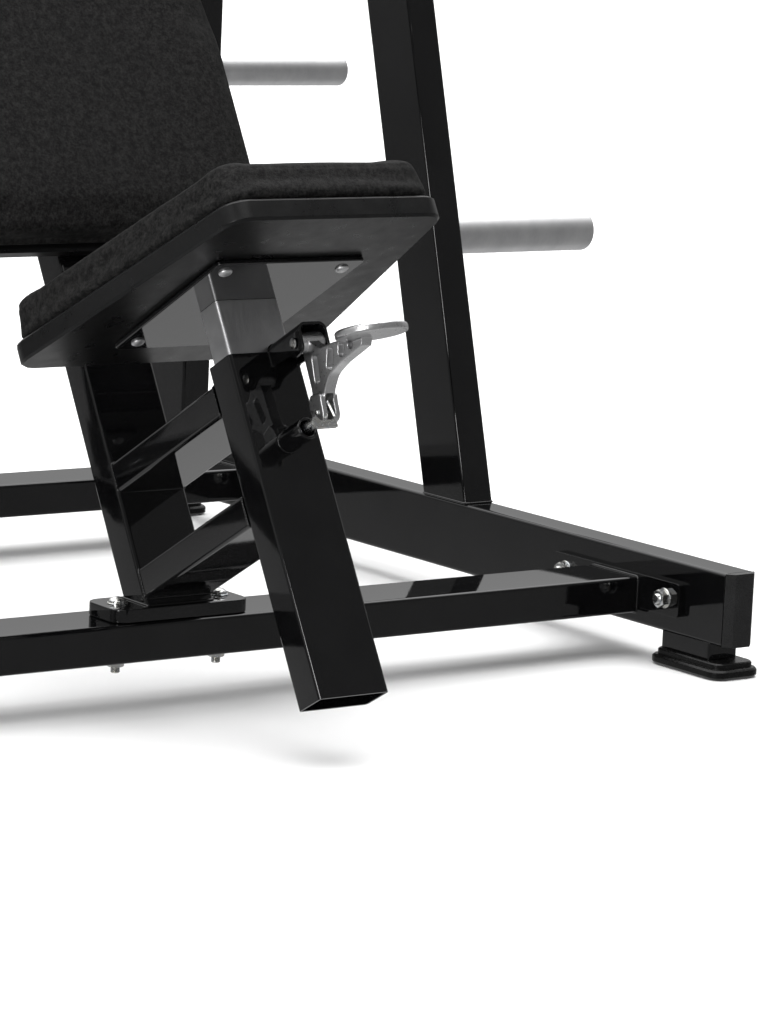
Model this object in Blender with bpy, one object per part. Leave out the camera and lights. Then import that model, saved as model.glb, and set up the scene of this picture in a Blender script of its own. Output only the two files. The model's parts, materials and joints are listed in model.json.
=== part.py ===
"""Plate-loaded seated press machine: welded box-tube frame, reclined pads, sliding seat, two press arms.

Metres, +Z up, the user faces -Y, origin on the floor under the middle of the machine.
"""

import math

import bmesh
import bpy
from mathutils import Matrix, Vector

# Box tube and general fits
TUBE_WIDE = 0.100
TUBE_NARROW = 0.050
TUBE_WALL = 0.003
TUBE_CORNER = 0.005
GAP = 0.0003

# Base frame
RAIL_X = 0.765
RAIL_BOTTOM = 0.0425
RAIL_TOP = RAIL_BOTTOM + TUBE_WIDE
RAIL_FRONT_Y = -0.643
RAIL_REAR_Y = 0.8353
CAP_LENGTH = 0.012
CAP_CHAMFER = 0.010
FOOT_LENGTH = 0.145
FOOT_WIDTH = 0.082
FOOT_HEIGHT = 0.021
FOOT_STUB_SETBACK = 0.035
MEMBER_BOTTOM = 0.060
MEMBER_TOP = MEMBER_BOTTOM + TUBE_NARROW
FRONT_MEMBER_Y = -0.417
REAR_MEMBER_Y = 0.535
FLANGE_THICK = 0.010
FLANGE_LENGTH = 0.270
FLANGE_HEIGHT = 0.046
FLANGE_RISE = 0.006
MEMBER_HALF = RAIL_X - TUBE_NARROW / 2 - GAP

# Uprights and top
UPRIGHT_LEAN = math.radians(15.5)
UPRIGHT_FOOT_Y = -0.0626
UPRIGHT_TOP = 1.560
REAR_UPRIGHT_Y = 0.7323
REAR_UPRIGHT_TOP = 1.360
SIDE_BEAM_TOP = 1.350
TOP_MEMBER_Y = 0.362
TOP_MEMBER_BOTTOM = 1.450
TOP_MEMBER_TOP = TOP_MEMBER_BOTTOM + TUBE_NARROW

# Plate storage horns: height, distance behind the front, radius
HORN_END_X = 1.054
HORN_WALL = 0.004
FRONT_HORN = {"y": 0.0911, "z": 0.5143, "radius": 0.030}
REAR_HORN = {"y": REAR_UPRIGHT_Y, "z": 0.7051, "radius": 0.025}

# Reclined frame: its Z runs up the seat post, its -Y points forward and up, square to the post
RECLINE = math.radians(30)
RECLINE_Y = -0.8807
SPINE_FRONT = 0.306
SPINE_FOOT_THICK = 0.018
SPINE_FOOT_HALF = 0.100
SPINE_FOOT_MARGIN = 0.010
SPINE_BOLT_X = 0.075
STRUT_HEIGHT = 0.040
UPPER_STRUT = 0.475
LOWER_STRUT = 0.334

# Fixed sleeve and the sliding seat post inside it
SLEEVE_BOTTOM = 0.101
SLEEVE_TOP = 0.536
POST_WIDE = 0.090
POST_NARROW = 0.040
POST_BOTTOM = 0.245
POST_TOP = 0.607
POST_HOLES = 7
POST_HOLE_PITCH = 0.025
SEAT_PLATE = {"half": 0.106, "front": 0.106, "rear": 0.153, "thick": 0.006}
BOARD_FRONT = 0.2217
BOARD_REAR = 0.223
BOARD_HALF_FRONT = 0.150
BOARD_HALF_REAR = 0.2145
BOARD_THICK = 0.027
SEAT_CUSHION_THICK = 0.055
PAD_LIP = 0.004
PAD_CORNER = 0.030

# Back pad
BACK_BOTTOM = 0.793
BACK_SHOULDER = 1.060
BACK_TOP = 1.600
BACK_HALF = 0.249
BACK_HALF_TOP = 0.180
BACK_MOUNT_THICK = 0.006
BACK_BOARD_THICK = 0.020
BACK_CUSHION_THICK = 0.044

# Seat release
LEVER_X = 0.027
LEVER_PIVOT = (-0.056, 0.524)
LEVER_CLEVIS = (-0.0525, 0.436)
PADDLE_CENTRE = (-0.180, 0.4865)
PADDLE_RADIUS = 0.0435
PADDLE_THICK = 0.0098
PADDLE_TILT = math.radians(11.3)
BRACKET_TOP = 0.545
BRACKET_HALF = 0.0205
BRACKET_SHEET = 0.0035
BRACKET_BEND = 0.010
PIN_RADIUS = 0.0040
CLEVIS_PIN_RADIUS = 0.0037
LEVER_WEB_HALF = 0.0078
FORK_HALF = 0.0125
FORK_HALF_GAP = 0.0058
FORK_RADIUS = 0.0140
PLUNGER_HEIGHT = 0.420
PLUNGER_RADIUS = 0.0065
PLUNGER_TIP = 0.0045
HOUSING_LENGTH = 0.047
HOUSING_RADIUS = 0.014

# Press arms
ARM_X = 0.600
ARM_PIVOT_Y = 0.362
ARM_PIVOT_Z = 1.620
ARM_SLOPE = math.radians(37.5)
ARM_LENGTH = 0.920
ARM_DEPTH = 0.080
ARM_WIDTH = 0.050
HUB_RADIUS = 0.036
HUB_BORE = 0.0243
HUB_HALF = 0.052
LUG_HALF_GAP = 0.0545
LUG_THICK = 0.008
SHAFT_RADIUS = 0.0125
WORK_HORN_AT = 0.600
WORK_HORN_RADIUS = 0.025
WORK_HORN_LENGTH = 0.330
HANDLE_RADIUS = 0.015
HANDLE_INNER_X = 0.262
GRIP_LENGTH = 0.150
STOP_AT = 0.118
BUMPER_RADIUS = 0.018
BUMPER_HEIGHT = 0.014

ROUND_STEPS = 20
SMALL_STEPS = 12


def clear_scene():
    for old in list(bpy.data.objects):
        bpy.data.objects.remove(old, do_unlink=True)


def make_material(name, colour, roughness, metallic):
    material = bpy.data.materials.new(name)
    material.use_nodes = True
    shader = material.node_tree.nodes["Principled BSDF"]
    shader.inputs["Base Color"].default_value = (*colour, 1)
    shader.inputs["Roughness"].default_value = roughness
    shader.inputs["Metallic"].default_value = metallic
    return material


def make_empty(name, location=(0, 0, 0), rotation=(0, 0, 0), parent=None):
    empty = bpy.data.objects.new(name, None)
    bpy.context.scene.collection.objects.link(empty)
    empty.parent = parent
    empty.location = location
    empty.rotation_euler = rotation
    return empty


def make_object(name, shape, material, location=(0, 0, 0), rotation=(0, 0, 0), parent=None):
    bmesh.ops.recalc_face_normals(shape, faces=shape.faces)
    mesh = bpy.data.meshes.new(name)
    shape.to_mesh(mesh)
    shape.free()
    mesh.shade_smooth()
    mesh.set_sharp_from_angle(angle=math.radians(35))
    mesh.materials.append(material)
    made = bpy.data.objects.new(name, mesh)
    bpy.context.scene.collection.objects.link(made)
    made.parent = parent
    made.location = location
    made.rotation_euler = rotation
    return made


def rounded_polygon(corners, steps=3):
    """Outline through corners (x, y, radius), each turned into an arc."""
    outline = []
    count = len(corners)
    for index, (x, y, radius) in enumerate(corners):
        here = Vector((x, y))
        if radius <= 0:
            outline.append(here)
            continue
        before = (Vector(corners[index - 1][:2]) - here).normalized()
        after = (Vector(corners[(index + 1) % count][:2]) - here).normalized()
        half = before.angle(after) / 2
        centre = here + (before + after).normalized() * (radius / math.sin(half))
        start = here + before * (radius / math.tan(half)) - centre
        turn = start.angle_signed(here + after * (radius / math.tan(half)) - centre)
        for step in range(steps + 1):
            outline.append(centre + Matrix.Rotation(-turn * step / steps, 2) @ start)
    return outline


def rectangle(width, depth, radius=0.0, steps=3):
    x, y = width / 2, depth / 2
    return rounded_polygon([(-x, -y, radius), (x, -y, radius), (x, y, radius), (-x, y, radius)], steps)


def circle(radius, steps=ROUND_STEPS):
    turn = 2 * math.pi / steps
    return [Vector((radius * math.cos(turn * i), radius * math.sin(turn * i))) for i in range(steps)]


def level(height):
    return lambda x, y: height


def add_ring(shape, outline, height):
    return [shape.verts.new((point[0], point[1], height(point[0], point[1]))) for point in outline]


def bridge(shape, lower, upper):
    count = len(lower)
    for index in range(count):
        after = (index + 1) % count
        shape.faces.new((lower[index], lower[after], upper[after], upper[index]))


def prism(outline, bottom, top):
    """Solid with this outline, between two heights or two height functions of (x, y)."""
    shape = bmesh.new()
    low = add_ring(shape, outline, bottom if callable(bottom) else level(bottom))
    high = add_ring(shape, outline, top if callable(top) else level(top))
    bridge(shape, low, high)
    shape.faces.new(low[::-1])
    shape.faces.new(high)
    return shape


def hollow(outer, inner, bottom, top, lid=0.0):
    """Tube between two equal-count outlines. With a lid its top end is closed by that thickness."""
    bottom = bottom if callable(bottom) else level(bottom)
    top = top if callable(top) else level(top)
    shape = bmesh.new()
    low_out = add_ring(shape, outer, bottom)
    high_out = add_ring(shape, outer, top)
    low_in = add_ring(shape, inner, bottom)
    high_in = add_ring(shape, inner, lambda x, y: top(x, y) - lid)
    bridge(shape, low_out, high_out)
    bridge(shape, high_in, low_in)
    bridge(shape, low_in, low_out)
    if lid:
        shape.faces.new(high_out)
        shape.faces.new(high_in[::-1])
    else:
        bridge(shape, high_out, high_in)
    return shape


def box_tube(width, depth, bottom, top, wall=TUBE_WALL, lid=0.0):
    outer = rectangle(width, depth, TUBE_CORNER)
    inner = rectangle(width - 2 * wall, depth - 2 * wall, TUBE_CORNER - wall if wall < TUBE_CORNER else 0.001)
    return hollow(outer, inner, bottom, top, lid)


def turned(profile, steps=ROUND_STEPS):
    """Solid of revolution about Z through (radius, height) points; a radius of 0 closes on the axis."""
    shape = bmesh.new()
    rings = []
    for radius, height in profile:
        if radius == 0:
            rings.append([shape.verts.new((0, 0, height))])
        else:
            rings.append(add_ring(shape, circle(radius, steps), level(height)))
    closed = profile[0][0] != 0
    pairs = list(zip(rings, rings[1:] + rings[:1] if closed else rings[1:]))
    for first, second in pairs:
        if len(first) == 1 or len(second) == 1:
            tip, ring = (first[0], second) if len(first) == 1 else (second[0], first)
            for index in range(steps):
                shape.faces.new((tip, ring[index], ring[(index + 1) % steps]))
        else:
            bridge(shape, first, second)
    return shape


def box(low, high):
    x0, y0, z0 = low
    x1, y1, z1 = high
    return prism([Vector(p) for p in ((x0, y0), (x1, y0), (x1, y1), (x0, y1))], z0, z1)


def bevel(made, width, segments=2, angle=40):
    modifier = made.modifiers.new("edge_bevel", "BEVEL")
    modifier.width = width
    modifier.segments = segments
    modifier.limit_method = "ANGLE"
    modifier.angle_limit = math.radians(angle)
    return made


def boolean(made, helper, operation):
    helper.hide_render = True
    helper.display_type = "WIRE"
    modifier = made.modifiers.new(helper.name, "BOOLEAN")
    modifier.operation = operation
    modifier.solver = "EXACT"
    modifier.object = helper
    return made


def weld(made, helper):
    return boolean(made, helper, "UNION")


def cut(made, helper):
    return boolean(made, helper, "DIFFERENCE")


def side_name(side):
    return "right" if side > 0 else "left"


def build_rails(paint, plastic, rubber):
    for side in (-1, 1):
        name = side_name(side)
        x = side * RAIL_X
        length = RAIL_REAR_Y - RAIL_FRONT_Y - 2 * CAP_LENGTH - 2 * GAP
        start = (x, RAIL_FRONT_Y + CAP_LENGTH + GAP, RAIL_BOTTOM + TUBE_WIDE / 2)
        turn = (math.radians(-90), 0, 0)
        rail = make_object(f"rail_{name}", box_tube(TUBE_NARROW, TUBE_WIDE, 0, length), paint, start, turn)
        for end, y_end, inward in (("front", RAIL_FRONT_Y, 1), ("rear", RAIL_REAR_Y, -1)):
            build_rail_end(rail, f"{end}_{name}", x, y_end, inward, paint, plastic, rubber)


def build_rail_end(rail, label, x, y_end, inward, paint, plastic, rubber):
    near = y_end + inward * FOOT_STUB_SETBACK
    far = near + inward * TUBE_WIDE
    stub_shape = prism(
        rectangle(TUBE_NARROW, TUBE_WIDE, TUBE_CORNER), FOOT_HEIGHT + GAP, RAIL_BOTTOM + TUBE_WALL / 2
    )
    stub = make_object(f"stub_{label}", stub_shape, paint, (x, (near + far) / 2, 0))
    weld(rail, stub)

    half_x = TUBE_NARROW / 2
    chamfer = CAP_CHAMFER
    front = CAP_LENGTH
    outline = [(-half_x, 0), (half_x, 0), (half_x, front - chamfer), (half_x - chamfer, front)]
    outline += [(chamfer - half_x, front), (-half_x, front - chamfer)]
    shape = prism([Vector(p) for p in outline], RAIL_BOTTOM, RAIL_TOP)
    turn = math.pi if inward > 0 else 0
    cap = make_object(f"rail_cap_{label}", shape, plastic, (x, y_end + inward * front, 0), (0, 0, turn))
    bevel(cap, 0.002, 2, 50)

    middle = y_end + inward * FOOT_LENGTH / 2
    sole = prism(rectangle(FOOT_WIDTH, FOOT_LENGTH, 0.020, 4), 0, 0.013)
    foot = make_object(f"foot_{label}", sole, rubber, (x, middle, 0))
    bevel(foot, 0.003, 1, 50)
    upper = prism(rectangle(FOOT_WIDTH - 0.014, FOOT_LENGTH - 0.014, 0.014, 4), 0.006, FOOT_HEIGHT)
    top = make_object(f"foot_top_{label}", upper, rubber, (x, middle, 0))
    bevel(top, 0.002, 1, 50)
    weld(foot, top)


def build_cross_member(name, y, paint):
    length = 2 * MEMBER_HALF - 2 * FLANGE_THICK
    centre = (0, y, MEMBER_BOTTOM + TUBE_NARROW / 2)
    shape = box_tube(TUBE_NARROW, TUBE_WIDE, -length / 2 - 0.002, length / 2 + 0.002)
    member = make_object(name, shape, paint, centre, (0, math.radians(90), 0))
    place = (0, y, MEMBER_BOTTOM + TUBE_NARROW / 2 + FLANGE_RISE)
    for side in (-1, 1):
        outer = side * MEMBER_HALF
        inner = side * (MEMBER_HALF - FLANGE_THICK)
        outline = rectangle(FLANGE_LENGTH, FLANGE_HEIGHT, 0.006)
        plate = prism(outline, min(inner, outer), max(inner, outer))
        turn = (math.radians(90), 0, math.radians(90))
        flange = make_object(f"{name}_flange_{side_name(side)}", plate, paint, place, turn)
        opening = prism(rectangle(0.080, 0.030, 0.003), min(inner, outer) - 0.01, max(inner, outer) + 0.01)
        window = make_object(f"{name}_window_{side_name(side)}", opening, paint, centre, turn)
        weld(member, flange)
        cut(member, window)
    return member


def build_spine_bolts(spine, member, zinc):
    """Two bolts hold the spine's foot to the front cross-member."""
    y = FRONT_MEMBER_Y - 0.007
    top = MEMBER_TOP + GAP + SPINE_FOOT_THICK
    for side in (-1, 1):
        place = (side * SPINE_BOLT_X, y, 0)
        bore = turned_rod(0.0068, 0.02, 0.16, SMALL_STEPS)
        hole = make_object(f"bolt_hole_{side_name(side)}", bore, zinc, place)
        cut(spine, hole)
        cut(member, hole)
        under = MEMBER_BOTTOM - GAP
        profile = [
            (0, under - 0.020), (0.0055, under - 0.020), (0.006, under - 0.0195), (0.006, under - 0.0105),
            (0.0095, under - 0.0105), (0.0105, under - 0.009), (0.0105, under - 0.003), (0.013, under - 0.0025),
            (0.013, under), (0.006, under), (0.006, top + GAP), (0.013, top + GAP), (0.013, top + 0.0025),
            (0.0115, top + 0.0025), (0.0105, top + 0.006), (0.0075, top + 0.0088), (0, top + 0.0095),
        ]
        make_object(f"spine_bolt_{side_name(side)}", turned(profile, SMALL_STEPS), zinc, place)


def turned_rod(radius, low, high, steps=ROUND_STEPS):
    return prism(circle(radius, steps), low, high)


def upright_outline_shift(y):
    """Height along a leaning upright, above its origin, where a level cut meets it."""
    return y * math.tan(UPRIGHT_LEAN)


def build_uprights(paint, steel):
    foot = RAIL_TOP + GAP
    slant = 1 / math.cos(UPRIGHT_LEAN)
    centre_y = UPRIGHT_FOOT_Y + TUBE_WIDE * slant / 2
    for side in (-1, 1):
        name = side_name(side)
        x = side * RAIL_X
        rise = (UPRIGHT_TOP - foot) * slant
        shape = box_tube(
            TUBE_NARROW,
            TUBE_WIDE,
            lambda px, py: upright_outline_shift(py),
            lambda px, py: rise + upright_outline_shift(py),
            lid=TUBE_WALL,
        )
        make_object(f"front_upright_{name}", shape, paint, (x, centre_y, foot), (-UPRIGHT_LEAN, 0, 0))

        shape = box_tube(TUBE_NARROW, TUBE_WIDE, foot, REAR_UPRIGHT_TOP, lid=TUBE_WALL)
        make_object(f"rear_upright_{name}", shape, paint, (x, REAR_UPRIGHT_Y, 0))

        build_side_beam(name, x, paint)
        outer_x = RAIL_X + TUBE_NARROW / 2 + GAP
        for end, horn in (("front", FRONT_HORN), ("rear", REAR_HORN)):
            shape = horn_shape(horn["radius"], HORN_END_X - outer_x)
            place = (side * outer_x, horn["y"], horn["z"])
            make_object(f"storage_horn_{end}_{name}", shape, steel, place, (0, side * math.radians(90), 0))


def horn_shape(radius, length):
    """Open-rooted tube with a closed, rounded end."""
    inner = radius - HORN_WALL
    profile = [
        (inner, 0), (radius, 0), (radius, length - 0.006), (radius - 0.0018, length - 0.0018),
        (radius - 0.006, length), (0, length),
    ]
    cavity = [(0, length - HORN_WALL), (inner, length - HORN_WALL), (inner, 0)]
    shape = bmesh.new()
    rings = []
    for ring_radius, height in profile + cavity[:-1]:
        if ring_radius == 0:
            rings.append([shape.verts.new((0, 0, height))])
        else:
            rings.append(add_ring(shape, circle(ring_radius), level(height)))
    order = [(0, 1), (1, 2), (2, 3), (3, 4), (7, 0)]
    for first, second in order:
        bridge(shape, rings[first], rings[second])
    for tip, ring in ((5, 4), (6, 7)):
        for index in range(ROUND_STEPS):
            shape.faces.new((rings[tip][0], rings[ring][index], rings[ring][(index + 1) % ROUND_STEPS]))
    return shape


def build_side_beam(name, x, paint):
    """Level beam from the front upright's rear face to the rear upright."""
    middle = SIDE_BEAM_TOP - TUBE_WIDE / 2
    slant = TUBE_WIDE / math.cos(UPRIGHT_LEAN)
    rear_face = UPRIGHT_FOOT_Y + slant + (middle - RAIL_TOP) * math.tan(UPRIGHT_LEAN)
    end = REAR_UPRIGHT_Y - TUBE_WIDE / 2 - GAP
    start = rear_face + GAP / math.cos(UPRIGHT_LEAN)
    # The beam's local Z runs along +Y and its local Y runs down
    shape = box_tube(
        TUBE_NARROW,
        TUBE_WIDE,
        lambda px, py: start - py * math.tan(UPRIGHT_LEAN),
        end,
    )
    make_object(f"side_beam_{name}", shape, paint, (x, 0, middle), (math.radians(-90), 0, 0))


def build_top(paint, rubber):
    half = MEMBER_HALF
    middle = (0, TOP_MEMBER_Y, TOP_MEMBER_BOTTOM + TUBE_NARROW / 2)
    shape = box_tube(TUBE_NARROW, TUBE_WIDE, -half, half)
    member = make_object("top_cross_member", shape, paint, middle, (0, math.radians(90), 0))
    for side in (-1, 1):
        pivot = make_empty(
            f"stop_frame_{side_name(side)}", (side * ARM_X, ARM_PIVOT_Y, ARM_PIVOT_Z), (ARM_SLOPE, 0, 0)
        )
        under = -ARM_DEPTH / 2
        seat = under - 2 * GAP - BUMPER_HEIGHT
        shape = prism(circle(BUMPER_RADIUS, ROUND_STEPS), seat, under - GAP)
        bumper = make_object(
            f"arm_bumper_{side_name(side)}", shape, rubber, (0, -STOP_AT, 0), parent=pivot
        )
        bevel(bumper, 0.003, 2)
        base = box((-0.025, -STOP_AT - 0.026, seat - 0.026), (0.025, -STOP_AT + 0.014, seat - GAP))
        bracket = make_object(f"stop_block_{side_name(side)}", base, paint, parent=pivot)
        weld(member, bracket)


def level_cut(height):
    """Height function in the reclined frame of a level plane at this world height."""
    return lambda x, y: (height + y * math.sin(RECLINE)) / math.cos(RECLINE)


def build_spine(frame, paint):
    middle = SPINE_FRONT + TUBE_NARROW / 2
    foot_top = MEMBER_TOP + GAP + SPINE_FOOT_THICK
    bottom = level_cut(foot_top - 0.002)
    top = level_cut(TOP_MEMBER_BOTTOM - GAP)
    outer = rectangle(TUBE_WIDE, TUBE_NARROW, TUBE_CORNER)
    inner = rectangle(TUBE_WIDE - 2 * TUBE_WALL, TUBE_NARROW - 2 * TUBE_WALL, TUBE_CORNER - TUBE_WALL)
    shape = hollow(
        outer, inner, lambda x, y: bottom(x, y + middle), lambda x, y: top(x, y + middle)
    )
    spine = make_object("spine", shape, paint, (0, middle, 0), parent=frame)

    depth = TUBE_NARROW / math.cos(RECLINE)
    front_y = RECLINE_Y + SPINE_FRONT / math.cos(RECLINE) + foot_top * math.tan(RECLINE)
    centre_y = front_y + depth / 2
    outline = rectangle(2 * SPINE_FOOT_HALF, depth + 2 * SPINE_FOOT_MARGIN, 0.018, 4)
    plate = make_object("spine_foot", prism(outline, MEMBER_TOP + GAP, foot_top), paint, (0, centre_y, 0))
    bevel(plate, 0.002, 2, 50)
    weld(spine, plate)
    return spine


def build_strut(name, bottom, frame, paint):
    """Arm from the spine's front face to the sleeve's rear face."""
    start = SPINE_FRONT - GAP
    length = start - TUBE_NARROW - GAP
    place = (0, start, bottom + STRUT_HEIGHT / 2)
    shape = box_tube(TUBE_WIDE, STRUT_HEIGHT, 0, length)
    make_object(name, shape, paint, place, (math.radians(90), 0, 0), frame)


def build_sleeve(frame, paint):
    """Fixed outer tube that the seat post slides in, open at both ends."""
    shape = box_tube(TUBE_WIDE, TUBE_NARROW, SLEEVE_BOTTOM, SLEEVE_TOP)
    sleeve = make_object("seat_sleeve", shape, paint, (0, TUBE_NARROW / 2, 0), parent=frame)
    place = (0, 0, PLUNGER_HEIGHT)
    bore = prism(circle(0.0085, SMALL_STEPS), -0.010, 0.010)
    cut(sleeve, make_object("sleeve_hole", bore, paint, place, (math.radians(90), 0, 0), frame))


def pad_blank(corners, bottom, top, inset=0.0):
    """Flat pad with this outline (x, y, radius), pulled in by inset on each side."""
    centre_y = sum(y for _, y, _ in corners) / len(corners)
    pulled = []
    for x, y, radius in corners:
        pulled.append((x - math.copysign(inset, x), y - math.copysign(inset, y - centre_y), radius))
    return prism(rounded_polygon(pulled, 4), bottom, top)


def build_seat(frame, paint, steel, board_finish, upholstery):
    carriage = make_empty("seat_carriage", (0, 0, 0), parent=frame)
    shape = box_tube(POST_WIDE, POST_NARROW, POST_BOTTOM, POST_TOP)
    post = make_object("seat_post", shape, steel, (0, TUBE_NARROW / 2, 0), parent=carriage)
    face = TUBE_NARROW / 2 - POST_NARROW / 2
    for index in range(POST_HOLES):
        bore = prism(circle(PLUNGER_RADIUS + 0.0005, SMALL_STEPS), -0.010, 0.010)
        place = (0, face, PLUNGER_HEIGHT - POST_HOLE_PITCH * index)
        cut(post, make_object(f"post_hole_{index}", bore, steel, place, (math.radians(90), 0, 0), carriage))

    low = POST_TOP + GAP
    high = low + SEAT_PLATE["thick"]
    half = SEAT_PLATE["half"]
    front = SEAT_PLATE["front"]
    rear = SEAT_PLATE["rear"]
    corner = 0.008
    plate_outline = rounded_polygon(
        [(-half, -front, corner), (half, -front, corner), (half, rear, corner), (-half, rear, corner)]
    )
    plate = make_object("seat_plate", prism(plate_outline, low, high), paint, parent=carriage)
    bevel(plate, 0.001, 1, 50)

    corners = [
        (-BOARD_HALF_FRONT, -BOARD_FRONT, PAD_CORNER),
        (BOARD_HALF_FRONT, -BOARD_FRONT, PAD_CORNER),
        (BOARD_HALF_REAR, BOARD_REAR, PAD_CORNER),
        (-BOARD_HALF_REAR, BOARD_REAR, PAD_CORNER),
    ]
    low = high + GAP
    high = low + BOARD_THICK
    base = make_object("seat_board", pad_blank(corners, low, high), board_finish, parent=carriage)
    bevel(base, 0.003, 1, 50)
    low = high + GAP
    high = low + SEAT_CUSHION_THICK
    cushion = make_object("seat_cushion", pad_blank(corners, low, high, PAD_LIP), upholstery, parent=carriage)
    bevel(cushion, 0.008, 1, 50)


def build_back_pad(frame, paint, board_finish, upholstery):
    rear = SPINE_FRONT - GAP
    front = rear - BACK_MOUNT_THICK
    outline = rectangle(0.220, 0.420, 0.010)
    mount = prism(outline, 0, BACK_MOUNT_THICK)
    turn = (math.radians(90), 0, 0)
    centre = (BACK_BOTTOM + BACK_TOP) / 2
    plate = make_object("back_pad_mount", mount, paint, (0, rear, centre), turn, frame)
    bevel(plate, 0.001, 1, 50)
    corners = [
        (-BACK_HALF, BACK_BOTTOM, 0.030), (BACK_HALF, BACK_BOTTOM, 0.030), (BACK_HALF, BACK_SHOULDER, 0.300),
        (BACK_HALF_TOP, BACK_TOP, 0.050), (-BACK_HALF_TOP, BACK_TOP, 0.050), (-BACK_HALF, BACK_SHOULDER, 0.300),
    ]
    rear = front - GAP
    shape = pad_blank(corners, 0, BACK_BOARD_THICK)
    board = make_object("back_board", shape, board_finish, (0, rear, 0), turn, frame)
    bevel(board, 0.003, 1, 50)
    rear = rear - BACK_BOARD_THICK - GAP
    shape = pad_blank(corners, 0, BACK_CUSHION_THICK, PAD_LIP)
    cushion = make_object("back_cushion", shape, upholstery, (0, rear, 0), turn, frame)
    bevel(cushion, 0.008, 1, 50)


def side_shape(outline, low_x, high_x):
    """Prism of a (y, z) outline from low_x to high_x, standing in the YZ plane."""
    shape = bmesh.new()
    first = [shape.verts.new((low_x, point[0], point[1])) for point in outline]
    second = [shape.verts.new((high_x, point[0], point[1])) for point in outline]
    bridge(shape, first, second)
    shape.faces.new(first[::-1])
    shape.faces.new(second)
    return shape


def cross_rod(radius, low_x, high_x, steps=ROUND_STEPS):
    return side_shape(circle(radius, steps), low_x, high_x)


def build_release(frame, paint, cast, zinc):
    """Bent bracket on the sleeve, the lever's pin, the plunger's housing, the lever and the plunger."""
    pivot_y, pivot_z = LEVER_PIVOT
    reach = pivot_y - 0.017
    low = BRACKET_TOP - 0.060
    half = BRACKET_HALF
    top = BRACKET_TOP
    bend = BRACKET_BEND
    section = rounded_polygon([(-half, low, 0), (half, low, 0), (half, top, bend), (-half, top, bend)], 4)
    # The channel's local Z runs along -Y and its local Y runs up
    turn = (math.radians(90), 0, 0)
    channel = prism(section, GAP, -reach)
    bracket = make_object("lever_bracket", channel, paint, (LEVER_X, 0, 0), turn, frame)
    inner = half - BRACKET_SHEET
    bend = BRACKET_BEND - BRACKET_SHEET
    top = BRACKET_TOP - BRACKET_SHEET
    section = rounded_polygon(
        [(-inner, low - 0.01, 0), (inner, low - 0.01, 0), (inner, top, bend), (-inner, top, bend)], 4
    )
    inside = prism(section, -0.010, 0.010 - reach)
    cut(bracket, make_object("bracket_inside", inside, paint, (LEVER_X, 0, 0), turn, frame))
    profile = [
        (0.010, 0.518, 0), (pivot_y + 0.020, 0.515, 0.010), (pivot_y + 0.006, pivot_z - 0.0165, 0.008),
        (pivot_y - 0.014, pivot_z - 0.0140, 0.009), (pivot_y - 0.0165, BRACKET_TOP + 0.010, 0),
        (0.010, BRACKET_TOP + 0.010, 0),
    ]
    side_cut = side_shape(rounded_polygon(profile, 4), LEVER_X - 0.030, LEVER_X + 0.030)
    boolean(bracket, make_object("bracket_profile", side_cut, paint, parent=frame), "INTERSECT")
    pin_hole = cross_rod(PIN_RADIUS + GAP, LEVER_X - 0.040, LEVER_X + 0.040, SMALL_STEPS)
    cut(bracket, make_object("bracket_hole", pin_hole, paint, (0, pivot_y, pivot_z), parent=frame))

    pin = cross_rod(PIN_RADIUS, LEVER_X - 0.0235, LEVER_X + 0.0235, SMALL_STEPS)
    bevel(make_object("lever_pin", pin, zinc, (0, pivot_y, pivot_z), parent=frame), 0.001, 1, 50)

    ring = hollow(circle(HOUSING_RADIUS, 16), circle(0.0095, 16), 0, HOUSING_LENGTH - GAP)
    make_object("plunger_housing", ring, paint, (0, -GAP, PLUNGER_HEIGHT), turn, frame)
    build_lever(frame, cast, zinc)
    build_plunger(frame, zinc)


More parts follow.
